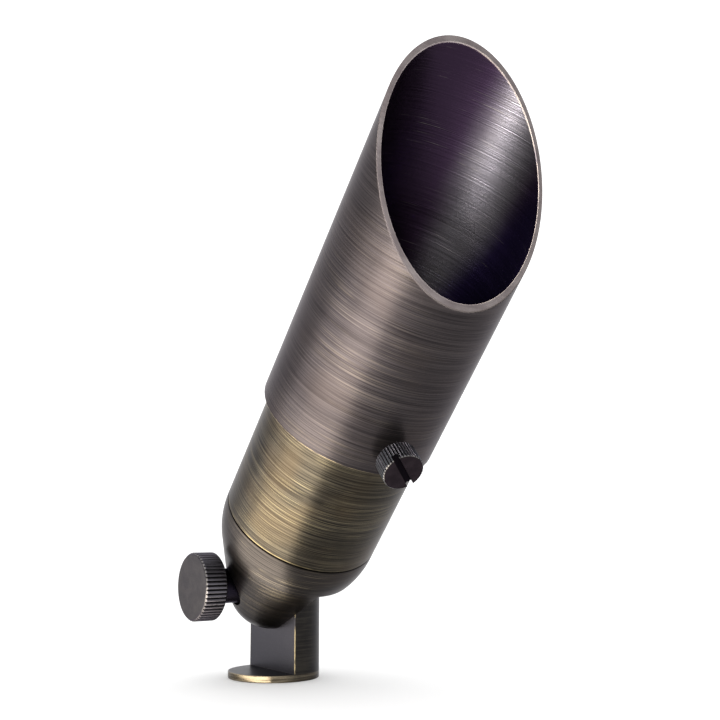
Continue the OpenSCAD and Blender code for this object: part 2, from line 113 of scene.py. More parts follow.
class Finish:  # one material and its nodes
    def __init__(self, name, **fixed):
        self.material = bpy.data.materials.new(name)
        self.material.use_nodes = True
        self.tree = self.material.node_tree
        self.shader = self.tree.nodes["Principled BSDF"]
        for socketName, amount in fixed.items():
            self.shader.inputs[socketName.replace("_", " ")].default_value = amount

    def plug(self, item, socket):
        if isinstance(item, Value):
            self.tree.links.new(item.socket, socket)
        else:
            socket.default_value = item

    def add(self, kind, settings=None, values=None, out=0):
        node = self.tree.nodes.new(kind)
        for key, setting in (settings or {}).items():
            setattr(node, key, setting)
        for key, item in (values or {}).items():
            self.plug(item, node.inputs[key])
        return Value(self, node.outputs[out])

    def mix(self, share, first, second):  # sockets 6 and 7 are the two colours, output 2 the mixed one
        first, second = [(*item, 1) if isinstance(item, tuple) else item for item in (first, second)]
        return self.add("ShaderNodeMix", {"data_type": "RGBA"}, {0: share, 6: first, 7: second}, out=2)

    def mottle(self, noise, pair):  # wanders between two tones
        return self.mix(noise.step(0.35, 0.65), *pair)

    def place(self, pieceFrame):  # object coordinates as a frame of the object sees them, in mm
        back = Matrix.Scale(1 / mm, 4) @ pieceFrame.inverted()
        where = self.add("ShaderNodeTexCoord", out=3)  # its Object output
        return self.add(
            "ShaderNodeMapping",
            values={
                "Vector": where,
                "Location": tuple(back.translation),
                "Rotation": tuple(back.to_euler("XYZ")),
                "Scale": tuple(back.to_scale()),
            },
        )

    def split(self, where):
        node = self.tree.nodes.new("ShaderNodeSeparateXYZ")
        self.plug(where, node.inputs[0])
        return [Value(self, socket) for socket in node.outputs]

    def radius(self, x, y):
        return (x * x + y * y).math("SQRT")

    def noise(self, where, scale=(1, 1, 1), detail=2.0, roughness=0.5, offset=(0, 0, 0)):
        spread = self.add("ShaderNodeMapping", values={"Vector": where, "Scale": scale, "Location": offset})
        return self.add(
            "ShaderNodeTexNoise",
            values={"Vector": spread, "Scale": 1.0, "Detail": detail, "Roughness": roughness},
        )

    def feed(self, **links):
        for socketName, item in links.items():
            self.plug(item, self.shader.inputs[socketName.replace("_", " ")])

    def bump(self, height, strength, distance):
        self.feed(Normal=self.add(
            "ShaderNodeBump", values={"Strength": strength, "Distance": distance * mm, "Height": height}
        ))


def coat(finish, *names):  # CAD nodes take the finish in their own slots
    for name in names:
        for slot in frame["nodes"][name].material_slots:
            slot.material = finish.material


def addPiece(name, shape, pieceFrame, finish, body, node, sharp=32):
    # the shape comes in mm; edges that turn by more than sharp degrees stay crisp
    bmesh.ops.transform(shape, matrix=pieceFrame @ Matrix.Scale(mm, 4), verts=shape.verts)
    bmesh.ops.recalc_face_normals(shape, faces=shape.faces)
    for face in shape.faces:
        face.smooth = True
    for edge in shape.edges:
        edge.smooth = len(edge.link_faces) == 2 and edge.calc_face_angle(0) < math.radians(sharp)
    data = bpy.data.meshes.new(name)
    shape.to_mesh(data)
    shape.free()
    piece = bpy.data.objects.new(name, data)
    bpy.context.collection.objects.link(piece)
    data.materials.append(finish.material)
    weighted = piece.modifiers.new("flatFaces", "WEIGHTED_NORMAL")
    weighted.keep_sharp = True
    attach(piece, body)
    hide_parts(node)


def lathe(outline, steps=192):  # (radius, height) pairs in mm, a closed loop unless it starts on the axis
    shape = bmesh.new()
    points = [shape.verts.new((r, 0, h)) for r, h in outline]
    closed = outline[0][0] > 0
    pairs = zip(points, points[1:] + points[:1]) if closed else zip(points, points[1:])
    edges = [shape.edges.new(pair) for pair in pairs]
    bmesh.ops.spin(
        shape, geom=points + edges, axis=(0, 0, 1), cent=(0, 0, 0),
        angle=math.tau, steps=steps, use_merge=True, use_duplicate=False,
    )
    bmesh.ops.remove_doubles(shape, verts=shape.verts, dist=sameSpot)
    bmesh.ops.recalc_face_normals(shape, faces=shape.faces)
    return shape


def rod(radius, start, end, segments):
    shape = bmesh.new()
    bmesh.ops.create_cone(
        shape, cap_ends=True, segments=segments, radius1=radius, radius2=radius,
        depth=end - start, matrix=Matrix.Translation((0, 0, (start + end) / 2)),
    )
    return shape


def block(size, middle):
    shape = bmesh.new()
    bmesh.ops.create_cube(shape, size=1, matrix=Matrix.Translation(middle) @ Matrix.Diagonal((*size, 1)))
    return shape


def turned(shape, matrix):
    bmesh.ops.transform(shape, matrix=matrix, verts=shape.verts)
    return shape


def combine(shape, other, how):  # DIFFERENCE, UNION or INTERSECT of two closed shapes
    objects = []
    for mesh in (shape, other):
        data = bpy.data.meshes.new("work")
        mesh.to_mesh(data)
        mesh.free()
        piece = bpy.data.objects.new("work", data)
        bpy.context.collection.objects.link(piece)
        objects.append(piece)
    base, tool = objects
    change = base.modifiers.new("cut", "BOOLEAN")
    change.operation = how
    change.object = tool
    change.solver = "EXACT"
    bpy.context.view_layer.update()
    made = bpy.data.meshes.new_from_object(base.evaluated_get(bpy.context.evaluated_depsgraph_get()))
    result = bmesh.new()
    result.from_mesh(made)
    for piece in objects:
        data = piece.data
        bpy.data.objects.remove(piece)
        bpy.data.meshes.remove(data)
    bpy.data.meshes.remove(made)
    bmesh.ops.remove_doubles(result, verts=result.verts, dist=sameSpot)
    return result


def roundEdges(shape, edges, width, segments):
    bmesh.ops.bevel(
        shape, geom=edges, offset=width, offset_type="OFFSET", segments=segments, profile=0.5,
        affect="EDGES", material=-1, clamp_overlap=True,
    )


def soften(shape, width, angle, chosen):  # clears the cuts' slivers, then rounds the chosen sharp edges
    bmesh.ops.remove_doubles(shape, verts=shape.verts, dist=0.02)
    bmesh.ops.dissolve_degenerate(shape, edges=shape.edges, dist=0.01)
    sharp = [e for e in shape.edges if len(e.link_faces) == 2 and e.calc_face_angle(0) > math.radians(angle)]
    roundEdges(shape, [edge for edge in sharp if chosen(edge)], width, 2)
    bmesh.ops.remove_doubles(shape, verts=shape.verts, dist=sameSpot)


# Aged brass, brushed round the lamp: lines is how many per mm, groove how deep the bump is in mm
brassLooks = {
    "shroud": {
        "deep": (0.0170, 0.0146, 0.0156), "lifted": (0.0420, 0.0362, 0.0372),
        "gold": (0.108, 0.090, 0.072), "goldShare": 0.30, "cutShare": 0.15,
        "blush": (0.030, 0.0240, 0.0225), "edgeTint": (0.72, 0.70, 0.72),
        "rough": 0.34, "lines": 2.1, "contrast": 0.17, "groove": 0.022,
    },
    "tube": {
        "deep": (0.0175, 0.0155, 0.0130), "lifted": (0.0550, 0.0475, 0.0362),
        "gold": (0.168, 0.143, 0.092), "goldShare": 0.62, "cutShare": 0.55,
        "blush": (0.056, 0.0395, 0.0225), "edgeTint": (0.74, 0.73, 0.74),
        "rough": 0.33, "lines": 2.3, "contrast": 0.080, "groove": 0.030,
    },
    "cap": {
        "deep": (0.0155, 0.0140, 0.0138), "lifted": (0.0400, 0.0352, 0.0330),
        "gold": (0.150, 0.126, 0.092), "goldShare": 0.75, "cutShare": 0.45,
        "blush": (0.034, 0.0255, 0.0215), "edgeTint": (0.74, 0.73, 0.74),
        "rough": 0.34, "lines": 2.2, "contrast": 0.078, "groove": 0.030,
    },
}
cutColour = (0.009, 0.0075, 0.0065)
seamColour = (0.006, 0.005, 0.004)


def brushedBrass(name, pieceFrame, look):
    finish = Finish(name, Metallic=1.0, Specular_Tint=(*look["edgeTint"], 1))
    where = finish.place(pieceFrame)
    lines = look["lines"]
    streak = finish.noise(where, (0.022, 0.022, lines * 1.7), 1, 0.5, (7, 3, 1))
    fine = finish.noise(where, (0.045, 0.045, lines * 2.2), 1, 0.5)
    band = finish.noise(where, (0.010, 0.010, 0.16), 2, 0.5, (2, 9, 4))
    cloud = finish.noise(where, (0.05, 0.05, 0.05), 3, 0.5, (5, 1, 6))
    tone = (streak * 0.52 + fine * 0.40 + band * 0.08).step(0.5 - look["contrast"], 0.5 + look["contrast"])
    colour = finish.mix(tone, look["deep"], look["lifted"])
    scratch = finish.noise(where, (0.030, 0.030, lines * 1.9), 1, 0.5, (1, 4, 9)).step(0.56, 0.66)
    scratch = scratch * cloud.step(0.40, 0.60) * look["goldShare"]
    colour = finish.mix(scratch, colour, look["gold"])
    cuts = finish.noise(where, (0.026, 0.026, lines * 1.6), 1, 0.5, (6, 6, 2)).step(0.58, 0.67)
    colour = finish.mix(cuts * look["cutShare"], colour, cutColour)
    blush = finish.noise(where, (0.035, 0.035, 0.05), 2, 0.5, (9, 2, 2)).step(0.46, 0.66)
    colour = finish.mix(blush * 0.35, colour, look["blush"])
    rough = (streak - 0.5) * 0.12 + (cloud - 0.5) * 0.10 + look["rough"]
    height = streak * 0.6 + fine * 0.4
    return finish, where, colour, rough, height


shroud = {
    "inner": 28.58, "outer": 30.18, "rear": 76.911, "cutStation": 169.911, "cutAngle": 45.9, "blankOver": 60,
    "rearBevel": 0.35, "rimRound": 0.16, "screwHole": 2.05, "drill": (20, 40),
    "satin": 2.6, "purple": (0.0205, 0.0122, 0.0240), "paintedReflectionSilver": (0.0390, 0.0360, 0.0400),
    "paintedShadeNavy": (0.0095, 0.0062, 0.0225), "arc": (0.11, 0.10, 0.095), "outerRim": (0.020, 0.017, 0.016),
    "rim": ((0.058, 0.049, 0.050), (0.086, 0.076, 0.075)), "wornGoldAndSheen": (0.34, 0.275, 0.16),
}


def shroudBrass():
    look = brassLooks["shroud"]
    finish, where, colour, rough, height = brushedBrass("shroudBrass", shroudFrame, look)
    x, y, z = finish.split(where)
    radius = finish.radius(x, y)
    wear = finish.noise(where, (0.11, 0.11, 0.11), 3, 0.6, (3, 3, 3))

    # inside, the colour goes from a purple patina over a silver band, painted reflection, to navy painted
    # shade as it turns, in degrees
    inner = radius.step(29.5, 29.1)
    turn = (y * 1.0).math("ARCTAN2", x).math("DEGREES") + finish.noise(where, (0.05, 0.05, 0.03), 2) * 14 - 7
    # the silver band is painted reflection, laid where the light's band falls on the inner wall
    innerColour = finish.mix(turn.near(126, 34), shroud["purple"], shroud["paintedReflectionSilver"])
    # navy is painted shade, on the lower far side of the inner wall
    paintedShadeZone = (turn + z * 0.72).step(228, 203) * turn.step(20, 60)
    innerColour = finish.mix(paintedShadeZone, innerColour, shroud["paintedShadeNavy"])
    arcs = finish.noise(where, (0.04, 0.04, 2.4), 1, 0.5, (8, 2, 5)).step(0.64, 0.76)
    innerColour = finish.mix(arcs * wear.step(0.44, 0.62) * 0.5, innerColour, shroud["arc"])
    colour = finish.mix(inner, colour, innerColour)

    # the slant cut's bare rim, and the gold where both edges wear; the gold is weighted to one side, painted
    # highlight over the wear
    cut = math.radians(shroud["cutAngle"])
    cutDistance = (z - shroud["cutStation"]) * math.cos(cut) + x * math.sin(cut)
    rimFace = cutDistance.step(-0.20, -0.05)
    nearRim = cutDistance.step(-0.35, -0.10)
    colour = finish.mix(rimFace, colour, finish.mix(wear.step(0.3, 0.7), *shroud["rim"]))
    outerRim = radius.step(shroud["outer"] - shroud["rimRound"] - 0.1, shroud["outer"] - shroud["rimRound"])
    # the rim's outer bevel is painted dark: painted shade that keeps the strips' glint off it
    colour = finish.mix(outerRim * nearRim * 0.8, colour, shroud["outerRim"])
    # the inner and rear edges' gold is wear, made stronger on one side by y: painted highlight
    insideEdge = radius.near(shroud["inner"], 0.22) * cutDistance.step(-0.45, -0.15) * y.step(-6, 10) * 0.12
    rearEdge = z.step(shroud["rear"] + 0.34, shroud["rear"] + 0.20) * (y.step(2, -14) * 0.75 + 0.2)
    wornGoldAndSheen = (insideEdge + rearEdge).math("MINIMUM", 1.0) * wear.step(0.34, 0.54)
    colour = finish.mix(wornGoldAndSheen * 0.7, colour, shroud["wornGoldAndSheen"])

    rimEdges = radius.step(shroud["inner"] + 0.24, shroud["inner"] + 0.10) + outerRim
    finish.feed(Base_Color=colour, Roughness=rough - inner * 0.02 + nearRim * (rimEdges * 0.30 + 0.16))
    satin = finish.noise(where, (0.02, 0.02, 3.2), 1, 0.5, (4, 4, 4))
    grooves = height * (1 - inner * 0.3) + satin * inner * shroud["satin"]
    finish.bump(grooves * (1 - rimFace), 1.0, look["groove"])
    return finish


def buildShroud():
    far = shroud["cutStation"] + shroud["blankOver"]
    bevel = shroud["rearBevel"]
    shape = lathe([
        (shroud["inner"], shroud["rear"] + bevel * 0.5),
        (shroud["inner"] + bevel * 0.5, shroud["rear"]),
        (shroud["outer"] - bevel, shroud["rear"]),
        (shroud["outer"] - bevel * 0.3, shroud["rear"] + bevel * 0.3),
        (shroud["outer"], shroud["rear"] + bevel),
        (shroud["outer"], far),
        (shroud["inner"], far),
    ], 256)
    angle = math.radians(shroud["cutAngle"])
    cut = bmesh.ops.bisect_plane(
        shape, geom=shape.verts[:] + shape.edges[:] + shape.faces[:], clear_outer=True,
        plane_co=(0, 0, shroud["cutStation"]), plane_no=(math.sin(angle), 0, math.cos(angle)),
    )
    rims = [item for item in cut["geom_cut"] if isinstance(item, bmesh.types.BMEdge)]
    bmesh.ops.bridge_loops(shape, edges=rims)
    rims = [edge for edge in rims if edge.is_valid and len(edge.link_faces) == 2]
    roundEdges(shape, rims, shroud["rimRound"], 3)
    toHole = Matrix.Translation((0, 0, stand["clampStation"])) @ Matrix.Rotation(quarterTurn, 4, "Y")
    hole = turned(rod(shroud["screwHole"], *shroud["drill"], 48), toHole)
    shape = combine(shape, hole, "DIFFERENCE")
    addPiece("glareShroud", shape, shroudFrame, shroudBrass(), "shroud", "shroud")


buildShroud()
print("shroud made")

lampTube = {
    "bore": 25.5, "outer": 27.7, "seam": 32.311, "front": 108.611, "recess": 26.5, "recessStart": 102.611,
    "grooveR": 26.57, "grooves": (95.33, 98.83), "grooveWidth": 2.36, "bevel": 0.45,
    "wornSeamAndSheen": (0.36, 0.29, 0.15),
}


def tubeBrass():
    look = brassLooks["tube"]
    finish, where, colour, rough, height = brushedBrass("tubeBrass", lampFrame, look)
    x, y, z = finish.split(where)
    wear = finish.noise(where, (0.09, 0.09, 0.09), 3, 0.6, (3, 3, 3))
    # gold wear above the seam, stronger on the −y side by y: painted highlight
    seamWearAndSheen = z.near(lampTube["seam"] + 0.60, 0.24) * wear.step(0.34, 0.54) * (y.step(8, -16) * 0.85 + 0.1)
    colour = finish.mix(seamWearAndSheen * 0.45, colour, lampTube["wornSeamAndSheen"])
    colour = finish.mix(z.step(lampTube["seam"] + 0.52, lampTube["seam"] + 0.38), colour, seamColour)
    finish.feed(Base_Color=colour, Roughness=rough)
    finish.bump(height, 1.0, look["groove"])
    return finish


def buildTube(finish):
    t = lampTube
    outline = [
        (t["bore"], t["seam"]),
        (t["outer"] - t["bevel"], t["seam"]),
        (t["outer"] - t["bevel"] * 0.3, t["seam"] + t["bevel"] * 0.3),
        (t["outer"], t["seam"] + t["bevel"]),
    ]
    for start in t["grooves"]:
        outline += [
            (t["outer"], start), (t["grooveR"], start),
            (t["grooveR"], start + t["grooveWidth"]), (t["outer"], start + t["grooveWidth"]),
        ]
    outline += [
        (t["outer"], t["front"] - t["bevel"]),
        (t["outer"] - t["bevel"], t["front"]),
        (t["recess"], t["front"]),
        (t["recess"], t["recessStart"]),
        (t["bore"], t["recessStart"]),
    ]
    addPiece("lampTube", lathe(outline), lampFrame, finish, "lamp", "lamp_tube")


tubeFinish = tubeBrass()
buildTube(tubeFinish)
coat(tubeFinish, "lens_ring")
print("tube made")

cap = {
    "nose": 16.0, "cone": 23.5, "corner": 31.4, "cornerStation": 30.111, "outer": 27.7,
    "seam": 32.311, "bevel": 0.45, "shoulder": 18.9, "lapRound": 0.16,
    "spigot": 25.45, "spigotEnd": 46.011, "groove": 23.65, "grooveAt": 40.011, "grooveHalf": 1.15,
    "cavity": 21.45, "floor": 26.0, "wireBack": 1.8, "wireR": 2.6, "wireStart": 8.0,
    "bushR": 4.2, "bushL": 2.5,
    "neckFloor": 7.98, "neckBore": 7.0, "shankBore": 4.05, "screwR": 1.25, "screwDepth": 5, "screwX": 14.7,
    "nearNose": (0.0225, 0.0208, 0.0206), "counterbore": (0.010, 0.008, 0.012),
}


def capBrass():
    look = brassLooks["cap"]
    finish, where, colour, rough, height = brushedBrass("capBrass", lampFrame, look)
    x, y, z = finish.split(where)
    across, up, out = finish.split(finish.place(knuckleFrame))
    fade = z.step(-16.0, 3.0)
    colour = finish.mix(fade, cap["nearNose"], colour)
    # the counterbore's mouth is painted dark: painted shade in the recess round the neck
    counterbore = finish.radius(across, up).step(cap["neckBore"] + 0.15, cap["neckBore"] - 0.05)
    colour = finish.mix(counterbore * out.step(6, 7), colour, cap["counterbore"])
    colour = finish.mix(z.step(cap["seam"] - 0.46, cap["seam"] - 0.32), colour, seamColour)
    finish.feed(Base_Color=colour, Roughness=rough)
    finish.bump(height * (fade * 0.8 + 0.2), 1.0, look["groove"])
    return finish


def buildCap():
    c = cap
    cone = math.radians(c["cone"])
    outline = [(0, -c["nose"])]
    for i in range(1, 25):  # the round nose
        a = -math.pi / 2 + (math.pi / 2 - cone) * i / 24
        outline.append((c["nose"] * math.cos(a), c["nose"] * math.sin(a)))
    for i in range(25):  # the rounded corner up to the tube
        a = -cone + cone * i / 24
        wide = c["outer"] - c["corner"] + c["corner"] * math.cos(a)
        outline.append((wide, c["cornerStation"] + c["corner"] * math.sin(a)))
    outline += [
        (c["outer"], c["seam"] - c["bevel"]),
        (c["outer"] - c["bevel"] * 0.3, c["seam"] - c["bevel"] * 0.3),
        (c["outer"] - c["bevel"], c["seam"]),
        (c["spigot"], c["seam"]),
        (c["spigot"], c["grooveAt"] - c["grooveHalf"]),
        (c["groove"], c["grooveAt"] - c["grooveHalf"]),
        (c["groove"], c["grooveAt"] + c["grooveHalf"]),
        (c["spigot"], c["grooveAt"] + c["grooveHalf"]),
        (c["spigot"], c["spigotEnd"]),
        (c["cavity"], c["spigotEnd"]),
        (c["cavity"], c["floor"]),
        (0, c["floor"]),
    ]
    shape = lathe(outline, 160)
    lap = block((80, 40, 80 + c["shoulder"]), (0, 20, (c["shoulder"] - 80) / 2))  # takes the far half away
    shape = combine(shape, lap, "DIFFERENCE")
    toWire = Matrix.Translation((0, -c["wireBack"], 0))
    inside = c["floor"] + 1
    shape = combine(shape, turned(rod(c["wireR"], c["wireStart"], inside, 48), toWire), "DIFFERENCE")
    shape = combine(shape, turned(rod(c["bushR"], c["floor"] - c["bushL"], inside, 48), toWire), "DIFFERENCE")
    for side in (-1, 1):
        toScrew = Matrix.Translation((side * c["screwX"], 0, 0))
        screwHole = turned(rod(c["screwR"], c["floor"] - c["screwDepth"], inside, 24), toScrew)
        shape = combine(shape, screwHole, "DIFFERENCE")
    toKnuckle = lampFrame.inverted() @ knuckleFrame
    toKnuckle.translation = Vector((0, 0, 0))
    shape = combine(shape, turned(rod(c["neckBore"], c["neckFloor"], 30, 96), toKnuckle), "DIFFERENCE")
    shape = combine(shape, turned(rod(c["shankBore"], -1, c["neckFloor"] + 1, 64), toKnuckle), "DIFFERENCE")
    soften(shape, c["lapRound"], 38, lambda edge: min(v.co.z for v in edge.verts) < c["shoulder"] + 0.5)
    addPiece("rearCap", shape, lampFrame, capBrass(), "lamp", "rear_cap")


buildCap()
print("cap made")

stem = {
    "radius": 16.5, "foot": 2.5, "footBevel": 0.3, "pivot": 33.1, "face": -0.85, "edgeRound": 0.22,
    "shankHole": 4.05, "shankDepth": 11.5, "grooveIn": 8.0, "grooveOut": 13.0, "grooveDepth": 5.8,
    "wireR": 2.6, "wireBack": 5.1, "wireTop": 23.9, "bushR": 3.6, "bushDepth": 4.2,
    "screwR": 2.1, "screwX": 9.0, "screwBack": 8.4, "screwDepth": 12.0,
    "bar": ((0.014, 0.0130, 0.0128), (0.031, 0.028, 0.0245)),
    "flat": ((0.043, 0.041, 0.048), (0.050, 0.048, 0.055)),
    "rim": ((0.060, 0.048, 0.033), (0.24, 0.20, 0.14)), "wornEdge": (0.27, 0.22, 0.13),
}


def stemBrass():
    finish = Finish("stemBrass", Metallic=1.0, Specular_Tint=(0.72, 0.72, 0.74, 1))
    where = finish.place(footFrame)
    x, y, z = finish.split(where)
    radius = finish.radius(x, y)
    fine = finish.noise(where, (0.12, 0.12, 4.5), 2, 0.6)
    streak = finish.noise(where, (0.05, 0.05, 1.4), 3, 0.65)
    grain = finish.noise(where, (3, 3, 3), 2)
    cloud = finish.noise(where, (0.09, 0.09, 0.06), 3)
    wear = finish.noise(where, (0.22, 0.22, 0.22), 3, 0.6)
    colour = finish.mix((streak * 0.6 + cloud * 0.4).step(0.38, 0.62), *stem["bar"])
    face = y.step(stem["face"] + 0.12, stem["face"] + 0.04) * z.step(stem["foot"] + 0.05, stem["foot"] + 0.2)
    colour = finish.mix(face, colour, finish.mottle(grain, stem["flat"]))
    rim = z.step(stem["foot"] + 0.05, stem["foot"] - 0.05)
    rim = rim * radius.step(stem["radius"] - 0.5, stem["radius"] - 0.1)
    # the foot rim's brass is brighter on the −y side by y: painted highlight over its own tone
    colour = finish.mix(rim * (y.step(1, -7) * 0.7 + 0.3), colour, finish.mottle(streak, stem["rim"]))
    edge = radius.step(stem["radius"] - 0.45, stem["radius"] - 0.2) * y.near(stem["face"] + 0.10, 0.22)
    edge = edge * z.step(stem["foot"], stem["foot"] + 0.4)
    colour = finish.mix(edge * wear.step(0.38, 0.56), colour, stem["wornEdge"])
    finish.feed(Base_Color=colour, Roughness=(streak - 0.5) * 0.16 + (grain - 0.5) * 0.08 - rim * 0.08 + 0.36)
    finish.bump((fine * 0.55 + streak * 0.5) * (1 - face) + grain * face * 0.15, 1.0, 0.04)
    return finish


def buildStem():
    s = stem
    bar = rod(s["radius"], 0, s["pivot"] + s["radius"], 192)
    bar = combine(bar, block((60, 40, 80), (0, s["face"] + 20, 30)), "INTERSECT")  # half of a round bar
    toPivot = Matrix.Translation((0, 0, s["pivot"]))
    dome = turned(rod(s["radius"], -20, 20, 192), toPivot @ Matrix.Rotation(quarterTurn, 4, "X"))
    dome = combine(dome, block((60, 60, s["pivot"]), (0, 0, s["pivot"] / 2 + 0.5)), "UNION")
    bar = combine(bar, dome, "INTERSECT")
    soften(bar, s["edgeRound"], 50, lambda edge: all(abs(v.co.y - s["face"]) < 0.01 for v in edge.verts))
    b = s["footBevel"]
    foot = lathe([
        (0, 0),
        (s["radius"] - b, 0),
        (s["radius"] - b * 0.3, b * 0.3),
        (s["radius"], b),
        (s["radius"], s["foot"] - b),
        (s["radius"] - b * 0.3, s["foot"] - b * 0.3),
        (s["radius"] - b, s["foot"]),
        (0, s["foot"]),
    ])
    shape = combine(bar, foot, "UNION")
    intoFlat = toPivot @ Matrix.Rotation(-quarterTurn, 4, "X")
    shankHole = rod(s["shankHole"], s["face"] - 1, s["face"] + s["shankDepth"], 64)
    shape = combine(shape, turned(shankHole, intoFlat), "DIFFERENCE")
    groove = lathe([  # lets the wire past the pivot
        (s["grooveIn"], s["face"] - 1), (s["grooveOut"], s["face"] - 1),
        (s["grooveOut"], s["face"] + s["grooveDepth"]), (s["grooveIn"], s["face"] + s["grooveDepth"]),
    ], 96)
    shape = combine(shape, turned(groove, intoFlat), "DIFFERENCE")
    toWire = Matrix.Translation((0, s["face"] + s["wireBack"], 0))
    shape = combine(shape, turned(rod(s["wireR"], -1, s["wireTop"], 48), toWire), "DIFFERENCE")
    shape = combine(shape, turned(rod(s["bushR"], -1, s["bushDepth"], 48), toWire), "DIFFERENCE")
    for side in (-1, 1):
        toScrew = Matrix.Translation((side * s["screwX"], s["face"] + s["screwBack"], 0))
        shape = combine(shape, turned(rod(s["screwR"], -1, s["screwDepth"], 40), toScrew), "DIFFERENCE")
    addPiece("knuckleStem", shape, footFrame, stemBrass(), "base", "knuckle_stem")


buildStem()
print("stem and foot made")


# Blackened screws: toothed heads with both rims turned back, worn bright on their bevels
knob = {
    "radius": 11.9, "back": 24.15, "height": 8.25, "teeth": 51, "depth": 0.55, "bevel": 0.6,
    "neck": 6.1, "neckEnd": 9.0, "shank": 4.0, "tip": -10.4, "pitch": 1.25,
    "face": ((0.036, 0.035, 0.034), (0.046, 0.044, 0.042)),
    "crest": (0.150, 0.143, 0.168), "valley": (0.022, 0.020, 0.026),
}
clampScrew = {
    "radius": 6.65, "back": 33.18, "height": 7.1, "teeth": 40, "depth": 0.34, "bevel": 0.35,
    "neck": 3.1, "neckEnd": 31.18, "shank": 2.0, "tip": 28.75, "pitch": 0.7,
    "slotWidth": 2.0, "slotDepth": 2.0, "slotTurn": 45,
    "face": ((0.016, 0.012, 0.014), (0.024, 0.018, 0.021)),
    "crest": (0.104, 0.113, 0.123), "valley": (0.010, 0.009, 0.010),
}
# worn bevels, and painted shade on the neck, in the slot and under the knob
screwWearAndShade = {
    "bevel": (0.22, 0.207, 0.198), "neck": (0.013, 0.011, 0.019), "slot": (0.004, 0.003, 0.004),
    "under": (0.010, 0.009, 0.011),
}
toothDepths = (0, 0, 0, 0.12, 0.7, 1, 0.7, 0.12)  # round one tooth: broad crest, narrow valley


def gunMetal(name, pieceFrame, screw):
    finish = Finish(name, Metallic=1.0, Specular_Tint=(0.62, 0.60, 0.66, 1))
    where = finish.place(pieceFrame)
    x, y, z = finish.split(where)
    radius = finish.radius(x, y)
    grain = finish.noise(where, (2.4, 2.4, 2.4), 3)
    cloud = finish.noise(where, (0.25, 0.25, 0.25), 2)
    wear = finish.noise(where, (0.5, 0.5, 0.5), 3, 0.6)
    colour = finish.mottle(cloud, screw["face"])

    # the head's toothed side
    outer = screw["radius"]
    depth = screw["depth"]
    top = screw["back"] + screw["height"]
    sideZone = z.step(screw["back"], screw["back"] + 0.3)
    crests = radius.step(outer - depth * 0.85, outer - depth * 0.25)
    colour = finish.mix(crests * sideZone * (wear * 0.5 + 0.4), colour, screw["crest"])
    valleys = radius.step(outer - depth * 0.7, outer - depth)
    valleys = valleys * radius.step(outer - depth * 1.6, outer - depth * 1.2)
    colour = finish.mix(valleys * sideZone, colour, screw["valley"])
    bevelZone = radius.step(outer - screw["bevel"] * 1.15, outer - screw["bevel"] * 0.6)
    bevelZone = bevelZone * z.step(top - screw["bevel"], top - screw["bevel"] * 0.6)
    colour = finish.mix(bevelZone * wear.step(0.32, 0.54) * 0.65, colour, screwWearAndShade["bevel"])
    # the neck below the head is painted dark: painted shade
    colour = finish.mix(z.step(screw["back"] + 0.05, screw["back"] - 0.05), colour, screwWearAndShade["neck"])

    if "slotTurn" in screw:
        turn = math.radians(screw["slotTurn"])
        half = screw["slotWidth"] / 2
        cutFloor = top - screw["slotDepth"]
        # the slot is painted near black: painted shade in the cut
        slotShadeZone = (y * math.cos(turn) - x * math.sin(turn)).math("ABSOLUTE").step(half + 0.12, half - 0.02)
        slotShadeZone = slotShadeZone * z.step(top - 0.05, top - 0.3) * z.step(cutFloor - 0.15, cutFloor - 0.05)
        colour = finish.mix(slotShadeZone, colour, screwWearAndShade["slot"])
    else:  # the half that points down is painted darker: painted shade
        under = y.step(1, -9) * z.step(top - 0.02, top - 0.12)
        colour = finish.mix(under * 0.85, colour, screwWearAndShade["under"])
    finish.feed(Base_Color=colour, Roughness=(grain - 0.5) * 0.22 + 0.38)
    finish.bump(grain, 0.6, 0.02)
    return finish


def turnOf(vert):
    return math.atan2(vert.co.y, vert.co.x) % math.tau


def screwHead(screw):  # a ring drawn up over the back bevel, the teeth and the front bevel, then closed
    shape = bmesh.new()
    perTooth = len(toothDepths)
    small = screw["radius"] - screw["bevel"] - 0.02
    bmesh.ops.create_circle(shape, cap_ends=False, segments=screw["teeth"] * perTooth, radius=small)
    edges = shape.edges[:]
    bottom = edges[:]
    for level in range(3):
        made = bmesh.ops.extrude_edge_only(shape, edges=edges)["geom"]
        edges = [item for item in made if isinstance(item, bmesh.types.BMEdge)]
        ring = sorted((item for item in made if isinstance(item, bmesh.types.BMVert)), key=turnOf)
        for i, vert in enumerate(ring):
            wide = screw["radius"] - screw["depth"] * toothDepths[i % perTooth]
            rise = wide - small
            r, h = ((wide, rise), (wide, screw["height"] - rise), (small, screw["height"]))[level]
            a = math.atan2(vert.co.y, vert.co.x)
            vert.co = (r * math.cos(a), r * math.sin(a), h)
    for loop in (bottom, edges):
        bmesh.ops.edgeloop_fill(shape, edges=loop)
    bmesh.ops.recalc_face_normals(shape, faces=shape.faces)
    bmesh.ops.translate(shape, vec=(0, 0, screw["back"]), verts=shape.verts)
    return shape


def screwShank(screw):  # neck, and shank with plain V rings for its thread
    deep = screw["pitch"] * 0.5
    outline = [(0, screw["tip"]), (screw["shank"] - deep, screw["tip"])]
    h = screw["tip"] + deep
    while h + screw["pitch"] < screw["neckEnd"] - 0.1:
        outline += [(screw["shank"], h), (screw["shank"] - deep, h + screw["pitch"] * 0.5)]
        h += screw["pitch"]
    outline += [
        (screw["shank"] - deep, screw["neckEnd"]), (screw["neck"] - 0.2, screw["neckEnd"]),
        (screw["neck"], screw["neckEnd"] + 0.2), (screw["neck"], screw["back"] + 0.5),
        (0, screw["back"] + 0.5),
    ]
    return lathe(outline, 96)


